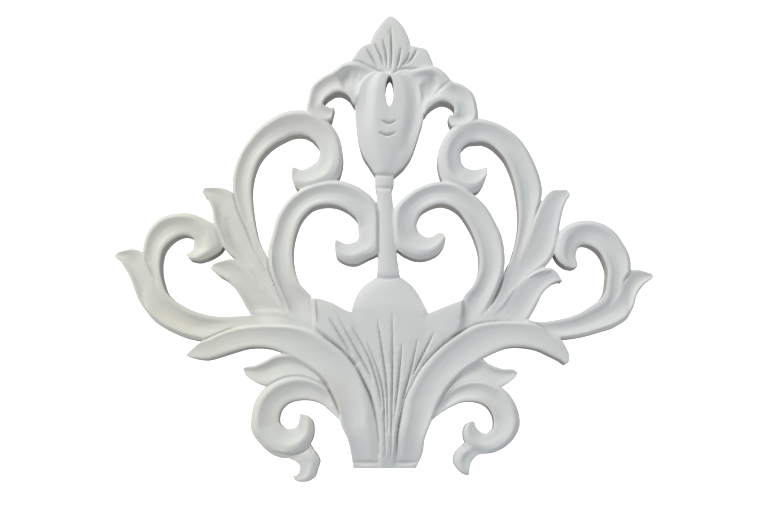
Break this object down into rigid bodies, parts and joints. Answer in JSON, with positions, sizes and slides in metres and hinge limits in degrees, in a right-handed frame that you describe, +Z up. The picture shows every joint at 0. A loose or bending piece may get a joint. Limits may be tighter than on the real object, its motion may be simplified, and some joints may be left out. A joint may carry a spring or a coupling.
{
  "type": "scroll applique",
  "caption": "Pierced cast scroll applique with a flat back: a flower on a stem over a fan leaf, with paired volutes and curling leaves.",
  "frame": {"origin": "on the flat back, behind the stem, at half the overall height", "axes": "+Z up along the stem, +X to the right as seen from the front, +Y out of the flat back, the carved front faces -Y"},
  "size_m": [0.2, 0.012, 0.1749],
  "materials": {
    "cast_polyester": "matte off-white cast polyester, unpainted"
  },
  "bodies": {
    "root": {"applique": "cast_polyester"}
  },
  "joints": []
}
